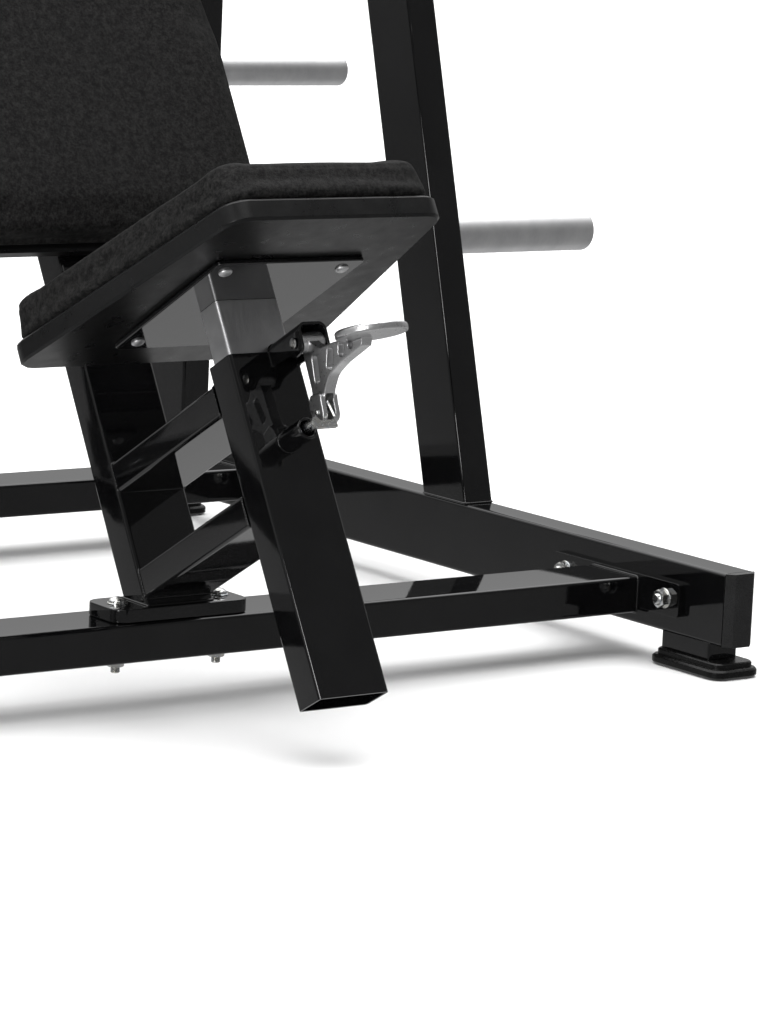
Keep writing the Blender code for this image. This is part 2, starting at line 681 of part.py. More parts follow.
def build_lever(frame, cast, zinc):
    """Cast lever about its pivot: hub, clevis arm down to the plunger, curved web out to the paddle."""
    pivot_y, pivot_z = LEVER_PIVOT
    lever_axis = make_empty("lever_axis", (0, pivot_y, pivot_z), parent=frame)
    clevis_y = LEVER_CLEVIS[0] - pivot_y
    clevis_z = LEVER_CLEVIS[1] - pivot_z
    paddle_y = PADDLE_CENTRE[0] - pivot_y
    paddle_z = PADDLE_CENTRE[1] - pivot_z

    hub = cross_rod(0.0127, LEVER_X - 0.0165, LEVER_X + 0.0165)
    lever = make_object("release_lever", hub, cast, parent=lever_axis)
    under = paddle_z - PADDLE_THICK / 2
    arm = [
        (0.0060, -0.004, 0.003), (0.0085, -0.058, 0.030), (clevis_y + 0.0125, clevis_z + 0.006, 0.008),
        (clevis_y, clevis_z - 0.008, 0.006), (clevis_y - 0.0125, clevis_z + 0.008, 0.008),
        (-0.0180, -0.0675, 0.020), (-0.0330, -0.0545, 0.030), (-0.0600, -0.0500, 0.060),
        (paddle_y + 0.016, under - 0.006, 0.003), (paddle_y + 0.010, under + 0.003, 0.002),
        (-0.0580, -0.0225, 0.030), (-0.0280, -0.0180, 0.012), (-0.0110, -0.002, 0.003),
    ]
    outline = rounded_polygon(arm, 5)[::-1]
    web = side_shape(outline, LEVER_X - LEVER_WEB_HALF, LEVER_X + LEVER_WEB_HALF)
    weld(lever, make_object("lever_web", web, cast, parent=lever_axis))
    jaw = [
        (clevis_y + FORK_RADIUS, clevis_z + 0.014, 0.020), (clevis_y + 0.011, clevis_z - FORK_RADIUS, 0.011),
        (clevis_y - 0.011, clevis_z - FORK_RADIUS, 0.011), (clevis_y - FORK_RADIUS, clevis_z + 0.010, 0.010),
        (-0.0135, -0.0700, 0.004), (0.0080, -0.0640, 0.004),
    ]
    outline = rounded_polygon(jaw, 5)[::-1]
    lobes = side_shape(outline, LEVER_X - FORK_HALF, LEVER_X + FORK_HALF)
    weld(lever, make_object("lever_jaw", lobes, cast, parent=lever_axis))
    disc = make_object(
        "lever_paddle",
        prism(circle(PADDLE_RADIUS, 64), -PADDLE_THICK / 2, PADDLE_THICK / 2),
        cast,
        (LEVER_X, paddle_y, paddle_z),
        (PADDLE_TILT, 0, 0),
        lever_axis,
    )
    bevel(disc, 0.0025, 2, 50)
    weld(lever, disc)
    fork = box(
        (LEVER_X - FORK_HALF_GAP, clevis_y - 0.020, clevis_z - 0.020),
        (LEVER_X + FORK_HALF_GAP, clevis_y + 0.020, clevis_z + 0.017),
    )
    cut(lever, make_object("lever_fork", fork, cast, parent=lever_axis))
    bore = cross_rod(PIN_RADIUS + GAP, LEVER_X - 0.030, LEVER_X + 0.030, SMALL_STEPS)
    cut(lever, make_object("lever_bore", bore, cast, parent=lever_axis))
    eye = cross_rod(CLEVIS_PIN_RADIUS + GAP, LEVER_X - 0.030, LEVER_X + 0.030, SMALL_STEPS)
    place = (0, clevis_y, clevis_z)
    cut(lever, make_object("clevis_bore", eye, cast, place, parent=lever_axis))
    slots = (
        (-0.0105, -0.0385, 0.0105, 0.033, 12), (-0.0425, -0.0375, 0.0120, 0.0260, 30),
        (-0.0680, -0.0365, 0.0115, 0.0150, 30), (-0.0875, -0.0385, 0.0095, 0.0085, 30),
    )
    for index, (centre_y, centre_z, width, length, lean) in enumerate(slots):
        window = side_shape(rectangle(width, length, 0.0040, 4), LEVER_X - 0.030, LEVER_X + 0.030)
        at = (0, centre_y, centre_z)
        turn = (math.radians(lean), 0, 0)
        cut(lever, make_object(f"lever_slot_{index}", window, cast, at, turn, lever_axis))

    pin = cross_rod(CLEVIS_PIN_RADIUS, LEVER_X - 0.0145, LEVER_X + 0.0145, SMALL_STEPS)
    bevel(make_object("clevis_pin", pin, zinc, place, parent=lever_axis), 0.001, 1, 50)


def build_plunger(frame, zinc):
    """Locking rod with a side tongue that the lever's clevis pin pulls."""
    slide = make_empty("plunger_axis", (0, 0, PLUNGER_HEIGHT), parent=frame)
    rod = prism(circle(PLUNGER_RADIUS, SMALL_STEPS), -PLUNGER_TIP, 0.066)
    plunger = make_object("locking_plunger", rod, zinc, (0, -GAP, 0), (math.radians(90), 0, 0), slide)
    half = 0.0015
    head = box((-0.005, -0.0675, -0.008), (LEVER_X + half, -0.0615, 0.001))
    weld(plunger, make_object("plunger_head", head, zinc, parent=slide))
    rise = LEVER_CLEVIS[1] - PLUNGER_HEIGHT
    outline = [
        (-0.0675, -0.008, 0.002), (-0.0600, -0.008, 0.004), (-0.0440, rise - 0.007, 0.006),
        (-0.0440, rise + 0.0135, 0.004), (-0.0610, rise + 0.0135, 0.004), (-0.0675, 0.005, 0.003),
    ]
    tongue = side_shape(rounded_polygon(outline, 3), LEVER_X - half, LEVER_X + half)
    weld(plunger, make_object("plunger_tongue", tongue, zinc, parent=slide))
    eye = side_shape(rectangle(0.0100, 0.0160, 0.003), LEVER_X - 0.020, LEVER_X + 0.020)
    place = (0, LEVER_CLEVIS[0], rise + 0.0015)
    cut(plunger, make_object("plunger_eye", eye, zinc, place, parent=slide))


def build_arm(side, paint, steel, zinc, rubber, bronze):
    name = side_name(side)
    pivot = make_empty(f"arm_axis_{name}", (side * ARM_X, ARM_PIVOT_Y, ARM_PIVOT_Z), (ARM_SLOPE, 0, 0))
    turn = (math.radians(90), 0, 0)

    hub = make_object(f"press_arm_{name}", cross_rod(HUB_RADIUS, -HUB_HALF, HUB_HALF, 32), paint, parent=pivot)
    tube = make_object(
        f"arm_tube_{name}", box_tube(ARM_WIDTH, ARM_DEPTH, 0.028, ARM_LENGTH), paint, (0, 0, 0), turn, pivot
    )
    weld(hub, tube)
    cut(hub, make_object(f"hub_bore_{name}", cross_rod(HUB_BORE, -0.1, 0.1, 32), paint, parent=pivot))

    for end in (-1, 1):
        place = "inner" if end * side < 0 else "outer"
        profile = [
            (SHAFT_RADIUS + GAP, 0), (HUB_BORE - GAP, 0), (HUB_BORE - GAP, 0.018), (0.031, 0.018),
            (0.031, 0.0200), (SHAFT_RADIUS + GAP, 0.0200),
        ]
        shape = turned(profile)
        start = end * (HUB_HALF - 0.018 + GAP)
        turn_end = (0, end * math.radians(90), 0)
        make_object(f"arm_bearing_{place}_{name}", shape, bronze, (start, 0, 0), turn_end, pivot)

    build_pivot_bracket(name, side, paint, zinc)

    root = ARM_WIDTH / 2 + GAP
    profile = [
        (WORK_HORN_RADIUS - HORN_WALL, 0), (0.045, 0), (0.045, 0.008), (WORK_HORN_RADIUS, 0.009),
        (WORK_HORN_RADIUS, WORK_HORN_LENGTH - 0.004), (WORK_HORN_RADIUS - 0.004, WORK_HORN_LENGTH),
        (0, WORK_HORN_LENGTH),
    ]
    horn = turned_blind(profile, WORK_HORN_RADIUS - HORN_WALL, WORK_HORN_LENGTH - HORN_WALL)
    place = (side * root, -WORK_HORN_AT, 0)
    make_object(f"work_horn_{name}", horn, steel, place, (0, side * math.radians(90), 0), pivot)

    tip = -ARM_LENGTH - GAP
    plate = box((-ARM_WIDTH / 2, tip - 0.008, -ARM_DEPTH / 2), (ARM_WIDTH / 2, tip, ARM_DEPTH / 2))
    handle = make_object(f"handle_{name}", plate, paint, parent=pivot)
    reach = ARM_X - HANDLE_INNER_X
    bar_y = tip - 0.006 - HANDLE_RADIUS
    ends = sorted((side * 0.024, -side * reach))
    shape = cross_rod(HANDLE_RADIUS, *ends)
    bar = make_object(f"handle_bar_{name}", shape, steel, (0, bar_y, 0), parent=pivot)
    weld(handle, bar)

    sleeve = turned([
        (HANDLE_RADIUS + GAP, 0), (0.0225, 0), (0.0225, 0.004), (0.0195, 0.006), (0.0195, GRIP_LENGTH - 0.006),
        (0.0225, GRIP_LENGTH - 0.004), (0.0225, GRIP_LENGTH), (HANDLE_RADIUS + GAP, GRIP_LENGTH),
    ])
    start = -side * (reach - 0.004)
    turn = (0, side * math.radians(90), 0)
    make_object(f"hand_grip_{name}", sleeve, rubber, (start, bar_y, 0), turn, pivot)


def turned_blind(profile, inner_radius, inner_end):
    """Turned shell whose outside follows the profile and whose inside is a blind bore."""
    shape = bmesh.new()
    rings = [add_ring(shape, circle(radius), level(height)) for radius, height in profile[:-1]]
    rings.append(add_ring(shape, circle(inner_radius), level(inner_end)))
    outside = rings[:-1]
    for first, second in zip(outside, outside[1:]):
        bridge(shape, first, second)
    bridge(shape, rings[-1], rings[0])
    shape.faces.new(outside[-1])
    shape.faces.new(rings[-1][::-1])
    return shape


def build_pivot_bracket(name, side, paint, zinc):
    """Two lugs on a foot plate on top of the cross-member, and the shaft through them."""
    place = (side * ARM_X, ARM_PIVOT_Y, 0)
    low = TOP_MEMBER_TOP + GAP
    outline = [
        (-0.036, low, 0), (0.036, low, 0), (0.034, ARM_PIVOT_Z, 0.020), (0.030, ARM_PIVOT_Z + 0.034, 0.028),
        (-0.030, ARM_PIVOT_Z + 0.034, 0.028), (-0.034, ARM_PIVOT_Z, 0.020),
    ]
    half = LUG_HALF_GAP + LUG_THICK
    shape = side_shape(rounded_polygon(outline, 4), -half, half)
    bracket = make_object(f"pivot_bracket_{name}", shape, paint, place)
    gap = box((-LUG_HALF_GAP, -0.1, low + 0.008), (LUG_HALF_GAP, 0.1, ARM_PIVOT_Z + 0.1))
    cut(bracket, make_object(f"bracket_gap_{name}", gap, paint, place))
    axis = (place[0], ARM_PIVOT_Y, ARM_PIVOT_Z)
    bore = cross_rod(SHAFT_RADIUS + GAP, -0.1, 0.1)
    cut(bracket, make_object(f"bracket_bore_{name}", bore, paint, axis))

    end = half + GAP
    profile = [
        (0, -end - 0.009), (0.017, -end - 0.009), (0.019, -end - 0.007), (0.019, -end), (SHAFT_RADIUS, -end),
        (SHAFT_RADIUS, end), (0.019, end), (0.019, end + 0.007), (0.017, end + 0.009), (0, end + 0.009),
    ]
    make_object(f"pivot_shaft_{name}", turned(profile), zinc, axis, (0, math.radians(90), 0))


def build():
    clear_scene()
    paint = make_material("gloss_black_paint", (0.010, 0.010, 0.011), 0.08, 0.0)
    plastic = make_material("black_plastic", (0.015, 0.015, 0.016), 0.25, 0.0)
    rubber = make_material("black_rubber", (0.012, 0.012, 0.012), 0.6, 0.0)
    steel = make_material("satin_steel", (0.40, 0.40, 0.41), 0.35, 1.0)
    zinc = make_material("bright_zinc", (0.62, 0.62, 0.64), 0.25, 1.0)
    cast = make_material("cast_aluminium", (0.66, 0.66, 0.67), 0.35, 1.0)
    bronze = make_material("bronze", (0.50, 0.34, 0.16), 0.35, 1.0)
    board_finish = make_material("satin_black_board", (0.025, 0.025, 0.026), 0.35, 0.0)
    upholstery = make_material("black_upholstery", (0.010, 0.010, 0.010), 0.75, 0.0)

    build_rails(paint, plastic, rubber)
    front_member = build_cross_member("front_cross_member", FRONT_MEMBER_Y, paint)
    build_cross_member("rear_cross_member", REAR_MEMBER_Y, paint)
    build_uprights(paint, steel)
    build_top(paint, rubber)

    recline = make_empty("recline_frame", (0, RECLINE_Y, 0), (-RECLINE, 0, 0))
    spine = build_spine(recline, paint)
    build_spine_bolts(spine, front_member, zinc)
    build_strut("upper_strut", UPPER_STRUT, recline, paint)
    build_strut("lower_strut", LOWER_STRUT, recline, paint)
    build_sleeve(recline, paint)
    build_back_pad(recline, paint, board_finish, upholstery)
    build_seat(recline, paint, steel, board_finish, upholstery)
    build_release(recline, paint, cast, zinc)
    for side in (-1, 1):
        build_arm(side, paint, steel, zinc, rubber, bronze)


build()
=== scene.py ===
"""Finished look of a plate-loaded seated press: paint, metals, cushions, fasteners, lever, studio."""
import json
import math

import bmesh
import bpy
from mathutils import Matrix, Vector, noise

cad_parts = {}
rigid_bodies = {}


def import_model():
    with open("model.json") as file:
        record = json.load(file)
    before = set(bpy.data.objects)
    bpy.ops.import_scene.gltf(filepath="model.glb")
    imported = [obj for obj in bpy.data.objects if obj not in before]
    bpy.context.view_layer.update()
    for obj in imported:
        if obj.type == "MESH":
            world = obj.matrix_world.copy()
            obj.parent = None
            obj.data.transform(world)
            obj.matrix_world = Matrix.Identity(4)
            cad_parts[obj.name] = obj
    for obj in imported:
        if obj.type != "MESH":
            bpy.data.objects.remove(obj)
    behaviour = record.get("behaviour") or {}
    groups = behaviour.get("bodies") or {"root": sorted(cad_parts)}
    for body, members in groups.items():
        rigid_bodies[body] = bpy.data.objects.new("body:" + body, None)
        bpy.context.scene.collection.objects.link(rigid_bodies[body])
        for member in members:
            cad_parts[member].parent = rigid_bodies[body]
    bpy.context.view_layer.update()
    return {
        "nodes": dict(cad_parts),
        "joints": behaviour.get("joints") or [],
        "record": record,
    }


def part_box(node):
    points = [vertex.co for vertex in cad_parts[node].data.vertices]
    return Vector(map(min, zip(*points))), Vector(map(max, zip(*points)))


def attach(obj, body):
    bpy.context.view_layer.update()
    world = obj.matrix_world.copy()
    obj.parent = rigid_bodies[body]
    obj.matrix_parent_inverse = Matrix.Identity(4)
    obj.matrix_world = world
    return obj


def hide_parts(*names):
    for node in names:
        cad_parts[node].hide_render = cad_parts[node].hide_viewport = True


for startup in list(bpy.data.objects):
    bpy.data.objects.remove(startup)
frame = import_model()

NODES = frame["nodes"]
JOINTS = {joint["name"]: joint for joint in frame["joints"]}
BODIES = frame["record"]["behaviour"]["bodies"]
BODY = {node: body for body, nodes in BODIES.items() for node in nodes}
SLOT = {row["node"]: row["material_slot"] for row in frame["record"]["subparts"]}
SIDES = ("left", "right")
ENDS = ("front", "rear")

# The reclined frame: x across, z up the seat's slope, y square to both, away from the user.
# y is 0 on the sleeve's front face.
PIVOT = Vector(JOINTS["release_lever_hinge"]["pos_m"])
PIVOT_Y = -0.056
PIVOT_Z = 0.524
SLOPE_UP = Vector(JOINTS["seat_slide"]["axis"])
SLOPE_BACK = SLOPE_UP.cross(Vector((1, 0, 0)))
TURN = Matrix((Vector((1, 0, 0)), SLOPE_BACK, SLOPE_UP)).transposed().to_4x4()
CORNER = Vector((0, PIVOT.y, PIVOT.z)) - SLOPE_BACK * PIVOT_Y - SLOPE_UP * PIVOT_Z
RECLINE = Matrix.Translation(CORNER) @ TURN

# Fasteners, in metres
CHAMFER = math.tan(math.radians(30))
SUNK = 0.0006  # how far a head's seat reaches into the face it sits on
WASHER = 0.0020
FLANGE = 0.010
FLANGE_BOLT_ALONG = 0.1065
FLANGE_BOLT_Z = 0.091
FOOT_TO_HEAD_TOP = 0.0095
NUT_TO_BOLT_END = 0.020
GAP = 0.0003
WELD_INSET = 0.0006

# Cushions, in metres
VOXEL = 0.006
BACK_FACE = 0.010
CUSHION_INSET = 0.0005
SEAM_BELOW_TOP = 0.012
SEAM_WIDTH = 0.0022
SEAM_DEPTH = 0.0011
FRAMES = 20


# Nodes and meshes


def span(name, within=Matrix.Identity(4)):
    """Lowest and highest corner of a CAD node, in the frame of this matrix."""
    inverse = within.inverted()
    points = [inverse @ vertex.co for vertex in NODES[name].data.vertices]
    low = Vector([min(point[axis] for point in points) for axis in range(3)])
    high = Vector([max(point[axis] for point in points) for axis in range(3)])
    return low, high


def axes(x_axis, z_axis, origin):
    """Frame at origin with this x axis and z axis."""
    z_axis = Vector(z_axis).normalized()
    y_axis = z_axis.cross(Vector(x_axis)).normalized()
    turn = Matrix((y_axis.cross(z_axis), y_axis, z_axis)).transposed().to_4x4()
    return Matrix.Translation(origin) @ turn


# Materials


def add(tree, kind, **settings):
    """New shader node. A setting names an attribute of the node, or an input with _ for its spaces."""
    made = tree.nodes.new("ShaderNode" + kind)
    for name, value in settings.items():
        if hasattr(made, name):
            setattr(made, name, value)
            continue
        socket = made.inputs[name.replace("_", " ")]
        if isinstance(value, bpy.types.NodeSocket):
            tree.links.new(value, socket)
        else:
            socket.default_value = value
    return made


def new_finish(name, **settings):
    """New material, its node tree and its Principled BSDF with these inputs."""
    material = bpy.data.materials.new(name)
    material.use_nodes = True
    tree = material.node_tree
    shader = tree.nodes["Principled BSDF"]
    for socket, value in settings.items():
        shader.inputs[socket.replace("_", " ")].default_value = value
    return material, tree, shader


def grain(tree, scale, detail=2.0, roughness=0.5, stretch=(1, 1, 1)):
    """Noise from 0 to 1 in the object's own coordinates, with features of about 1/scale metres."""
    place = add(tree, "TexCoord").outputs["Object"]
    place = add(tree, "Mapping", Vector=place, Scale=stretch).outputs["Vector"]
    return add(tree, "TexNoise", Vector=place, Scale=scale, Detail=detail, Roughness=roughness).outputs["Fac"]


def cells(tree, scale):
    """Distance to the nearest of scattered points, about 1/scale metres apart."""
    place = add(tree, "TexCoord").outputs["Object"]
    return add(tree, "TexVoronoi", Vector=place, Scale=scale).outputs["Distance"]


def level(tree, source, low, high, start=0.3, end=0.7):
    """Source between start and end becomes low to high."""
    made = add(tree, "MapRange", Value=source)
    for name, value in (("From Min", start), ("From Max", end), ("To Min", low), ("To Max", high)):
        made.inputs[name].default_value = value
    return made.outputs["Result"]


def tint(tree, shader, source, first, second, start=0.3, end=0.7):
    """Base colour that runs from first to second with source."""
    ramp = add(tree, "ValToRGB", Fac=source)
    ramp.color_ramp.elements[0].position = start
    ramp.color_ramp.elements[1].position = end
    ramp.color_ramp.elements[0].color = (*first, 1)
    ramp.color_ramp.elements[1].color = (*second, 1)
    tree.links.new(ramp.outputs["Color"], shader.inputs["Base Color"])


def polish(tree, shader, source, low, high):
    """Roughness that runs from low to high with source."""
    tree.links.new(level(tree, source, low, high), shader.inputs["Roughness"])


def relief(tree, shader, *layers):
    """Bumps on top of each other: each layer is (height, depth in metres)."""
    below = None
    for height, depth in layers:
        bump = add(tree, "Bump", Height=height, Strength=1.0, Distance=depth)
        if below:
            tree.links.new(below, bump.inputs["Normal"])
        below = bump.outputs["Normal"]
    tree.links.new(below, shader.inputs["Normal"])


def gloss_paint():
    """Powder coat with a mirror gloss: slight orange peel, and a polish haze that comes and goes."""
    material, tree, shader = new_finish("gloss_black_paint", IOR=1.5)
    tint(tree, shader, grain(tree, 14, 3), (0.0016, 0.0016, 0.0018), (0.0032, 0.0032, 0.0034))
    polish(tree, shader, grain(tree, 55, 6, 0.62), 0.018, 0.060)
    relief(tree, shader, (grain(tree, 330, 2), 0.000012), (grain(tree, 2600, 1), 0.000002))
    return material


def satin_board():
    """Satin black lacquer over plywood: fine stipple, low waves."""
    material, tree, shader = new_finish("satin_black_board", IOR=1.4)
    shader.inputs["Specular IOR Level"].default_value = 0.38
    tint(tree, shader, grain(tree, 260, 5, 0.7), (0.0022, 0.0022, 0.0023), (0.0050, 0.0050, 0.0052))
    polish(tree, shader, grain(tree, 45, 4), 0.26, 0.36)
    relief(tree, shader, (grain(tree, 1500, 2), 0.00003), (grain(tree, 90, 2), 0.00006))
    return material


def upholstery():
    """Coarse black fabric: raised threads, light specks on them, larger faint blotches."""
    material, tree, shader = new_finish("black_upholstery", IOR=1.40)
    shader.inputs["Specular IOR Level"].default_value = 0.16
    weave = grain(tree, 300, 4, 0.8)
    specks = grain(tree, 620, 3, 0.8)
    blotches = grain(tree, 130, 3, 0.7)
    weave_share = 0.6
    mixed = add(tree, "Math", operation="MULTIPLY_ADD")
    tree.links.new(weave, mixed.inputs[0])
    mixed.inputs[1].default_value = weave_share
    scaled = add(tree, "Math", operation="MULTIPLY")
    tree.links.new(blotches, scaled.inputs[0])
    scaled.inputs[1].default_value = 0.4
    tree.links.new(scaled.outputs[0], mixed.inputs[2])
    dark, light = (0.0008, 0.0008, 0.0009), (0.0210, 0.0206, 0.0200)
    tint(tree, shader, mixed.outputs[0], dark, light, 0.42, 0.64)
    polish(tree, shader, weave, 0.55, 0.80)
    relief(tree, shader, (grain(tree, 70, 3), 0.0003), (weave, 0.0007), (specks, 0.00035))
    return material


def steel():
    """Turned steel with a satin finish: fine rings across the axis X."""
    material, tree, shader = new_finish("satin_steel", Metallic=1.0)
    rings = grain(tree, 10, 3, 0.6, (160, 1.5, 1.5))
    tint(tree, shader, grain(tree, 30, 4, 0.6), (0.62, 0.62, 0.63), (0.74, 0.74, 0.745))
    polish(tree, shader, rings, 0.40, 0.54)
    relief(tree, shader, (rings, 0.000012))
    return material


def drawn_steel():
    """Drawn steel tube with a satin finish: faint lines along the slope."""
    material, tree, shader = new_finish("drawn_steel", Metallic=1.0)
    tint(tree, shader, grain(tree, 22, 4, 0.6), (0.66, 0.66, 0.67), (0.76, 0.76, 0.765))
    polish(tree, shader, grain(tree, 260, 3, 0.6, (1.0, 0.25, 0.15)), 0.36, 0.46)
    relief(tree, shader, (grain(tree, 1500, 2), 0.000003))
    return material


def zinc():
    """Bright zinc plate: slightly cloudy, with a faint blue and straw cast."""
    material, tree, shader = new_finish("bright_zinc", Metallic=1.0)
    tint(tree, shader, grain(tree, 120, 4, 0.6), (0.66, 0.64, 0.58), (0.70, 0.73, 0.77))
    polish(tree, shader, grain(tree, 500, 4), 0.14, 0.30)
    relief(tree, shader, (grain(tree, 900, 3), 0.00002))
    return material


def cast_aluminium():
    """Cast and tumbled: nearly smooth skin, duller in patches."""
    material, tree, shader = new_finish("cast_aluminium", Metallic=1.0)
    tint(tree, shader, grain(tree, 160, 5, 0.65), (0.62, 0.62, 0.625), (0.72, 0.72, 0.725))
    polish(tree, shader, grain(tree, 300, 4), 0.26, 0.36)
    relief(tree, shader, (grain(tree, 700, 4, 0.6), 0.000010), (grain(tree, 90, 2), 0.00003))
    return material


def bronze():
    """Sintered bronze bush: speckled and porous."""
    material, tree, shader = new_finish("bronze", Metallic=1.0)
    tint(tree, shader, grain(tree, 900, 4, 0.7), (0.32, 0.19, 0.08), (0.58, 0.40, 0.19))
    polish(tree, shader, grain(tree, 1200, 3), 0.32, 0.55)
    relief(tree, shader, (cells(tree, 1600), 0.00003))
    return material


def rubber():
    """Moulded rubber: soft sheen, uneven, with a fine grain."""
    material, tree, shader = new_finish("black_rubber", IOR=1.40)
    shader.inputs["Specular IOR Level"].default_value = 0.3
    tint(tree, shader, grain(tree, 60, 5, 0.6), (0.0016, 0.0016, 0.0017), (0.0042, 0.0041, 0.0040))
    polish(tree, shader, grain(tree, 200, 4), 0.22, 0.38)
    relief(tree, shader, (grain(tree, 1300, 3, 0.6), 0.00006))
    return material


def plastic():
    """Injection moulded cap: fine spark texture."""
    material, tree, shader = new_finish("black_plastic", IOR=1.46)
    tint(tree, shader, grain(tree, 40, 4), (0.0050, 0.0050, 0.0052), (0.0085, 0.0085, 0.0088))
    polish(tree, shader, grain(tree, 700, 3), 0.22, 0.36)
    relief(tree, shader, (grain(tree, 2200, 2), 0.00003))
    return material


FINISH = {
    "gloss_black_paint": gloss_paint(),
    "satin_black_board": satin_board(),
    "black_upholstery": upholstery(),
    "satin_steel": steel(),
    "bright_zinc": zinc(),
    "cast_aluminium": cast_aluminium(),
    "bronze": bronze(),
    "black_rubber": rubber(),
    "black_plastic": plastic(),
}


# Carried-over nodes


def drop_shading(mesh):
    """Takes off the stored normals and sharp marks."""
    for attribute in ("custom_normal", "sharp_edge", "sharp_face"):
        if attribute in mesh.attributes:
            mesh.attributes.remove(mesh.attributes[attribute])


def finish_nodes():
    """Each carried-over node gets its finish, clean flat faces and small rounded edges."""
    drawn = drawn_steel()
    for name, node in NODES.items():
        mesh = node.data
        drop_shading(mesh)
        mesh.shade_smooth()
        node.material_slots[0].link = "OBJECT"
        node.material_slots[0].material = drawn if name == "seat_post" else FINISH[SLOT[name]]
        weld = node.modifiers.new("join_faces", "WELD")
        weld.merge_threshold = 0.00001
        flat = node.modifiers.new("flat_faces", "DECIMATE")
        flat.decimate_type = "DISSOLVE"
        flat.angle_limit = math.radians(0.5)
        edge = node.modifiers.new("rounded_edges", "BEVEL")
        edge.width = 0.0005
        edge.segments = 2
        edge.limit_method = "ANGLE"
        edge.angle_limit = math.radians(40)
        shade = node.modifiers.new("flat_shading", "WEIGHTED_NORMAL")
        shade.keep_sharp = True


# Extra pieces


def new_object(name, data):
    made = bpy.data.objects.new(name, data)
    bpy.context.scene.collection.objects.link(made)
    return made


def piece(name, shape, slot, body, place=Matrix.Identity(4), sharp=35):
    """Object from a bmesh, put in place, smooth up to this angle, riding on a body."""
    bmesh.ops.transform(shape, matrix=place, verts=shape.verts)
    bmesh.ops.recalc_face_normals(shape, faces=shape.faces)
    mesh = bpy.data.meshes.new(name)
    shape.to_mesh(mesh)
    shape.free()
    mesh.shade_smooth()
    mesh.set_sharp_from_angle(angle=math.radians(sharp))
    mesh.materials.append(FINISH[slot])
    made = new_object(name, mesh)
    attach(made, body)
    return made


def lathe(profile, steps=48):
    """Closed solid turned about Z through (radius, height) rows.

    A third value makes a row's ring six-sided, with the radius half the width across flats. It says how
    the corners are chamfered: 1 down, 0 not at all."""
    shape = bmesh.new()
    rings = []
    for radius, height, *chamfer in profile:
        ring = []
        for index in range(steps if radius else 1):
            turn = 2 * math.pi * index / steps
            reach, rise = radius, height
            if chamfer:
                reach = radius / math.cos((turn + math.pi / 6) % (math.pi / 3) - math.pi / 6)
                rise -= chamfer[0] * (reach - radius) * CHAMFER
            ring.append(shape.verts.new((reach * math.cos(turn), reach * math.sin(turn), rise)))
        rings.append(ring)
    loop = rings + rings[:1] if profile[0][0] else rings
    for first, second in zip(loop, loop[1:]):
        for index in range(steps):
            after = (index + 1) % steps
            corners = [first[index % len(first)], first[after % len(first)]]
            corners += [second[after % len(second)], second[index % len(second)]]
            shape.faces.new(list(dict.fromkeys(corners)))
    return shape


def rounded(radius, height, width, steps=4):
    """Rows of a quarter round of this width up to a flat end."""
    turns = [math.pi / 2 * step / steps for step in range(steps + 1)]
    return [(radius - width * (1 - math.cos(turn)), height - width * (1 - math.sin(turn))) for turn in turns]


def thread(radius, low, high, pitch=0.00175):
    """Rows of a threaded end with a chamfered tip."""
    rows = []
    count = int((high - low) / pitch)
    for index in range(count):
        height = low + index * pitch
        rows += [(radius, height), (radius, height + pitch * 0.2)]
        rows += [(radius - 0.0008, height + pitch * 0.6)]
    return rows + [(radius, high - 0.0014), (radius - 0.0014, high), (0, high)]


def hex_head(flats, height):
    """Bolt head on its washer, from the face it is tightened on."""
    washer = flats * 0.62
    half = flats / 2
    base = WASHER
    rows = [(0, -SUNK), (washer - 0.0003, -SUNK), (washer, 0.0004)]
    rows += [(washer, base - 0.0004), (washer - 0.0004, base)]
    rows += [(half * 0.94, base), (half, base + 0.0003, 0), (half, base + height - 0.0002, 1)]
    rows += [(half * 0.93, base + height), (half * 0.90, base + height + 0.0001)]
    return rows + [(0, base + height + 0.0001)]


def hex_nut(flats, height, stud):
    """Nut on its washer, with the threaded end of the bolt standing out of it."""
    rows = hex_head(flats, height)[:-2]
    top = rows[-1][1]
    radius = flats * 0.31
    rows += [(radius + 0.0008, top), (radius, top - 0.0008)]
    return rows + thread(radius, top - 0.0004, top + stud)


def dome_head(radius, height, washer=0.0):
    """Domed head, with a washer of this radius under it, or none."""
    base = WASHER if washer else 0.0
    rows = [(0, -SUNK)]
    if washer:
        rows += [(washer - 0.0003, -SUNK), (washer, 0.0004)]
        rows += [(washer, base - 0.0005), (washer - 0.0005, base)]
    rim = 0.12
    rows += [(radius * 0.97, base), (radius, base + height * rim)]
    for turn in (0.3, 0.6, 0.9, 1.15):
        rows.append((radius * math.cos(turn), base + height * (rim + (1 - rim) * math.sin(turn))))
    return rows + [(radius * 0.30, base + height * 0.99), (0, base + height)]


def build_horns():
    """Turned horns with a rounded end, for the plates."""
    for side in SIDES:
        for name in [f"storage_horn_{end}_{side}" for end in ENDS] + [f"work_horn_{side}"]:
            low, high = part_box(name)
            out = 1 if high.x > 0 else -1
            root = low.x if out > 0 else high.x
            length = high.x - low.x
            centre = (low + high) / 2
            if name.startswith("work"):
                radius = 0.025
                collar = 0.045
                rows = [(0, 0), (collar - 0.0005, 0), (collar, 0.0005), (collar, 0.007)]
                rows += [(collar - 0.0005, 0.0075), (radius + 0.0025, 0.0078)]
                rows += [(radius + 0.0008, 0.0085), (radius, 0.0110)]
            else:
                radius = (high.z - low.z) / 2
                rows = [(0, 0), (radius, 0)]
            rows += rounded(radius, length, 0.006, 6) + [(0, length)]
            place = axes((0, 1, 0), (out, 0, 0), (root, centre.y, centre.z))
            made = piece(f"turned_{name}", lathe(rows, 96), "satin_steel", BODY[name], place, 50)
            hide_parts(name)


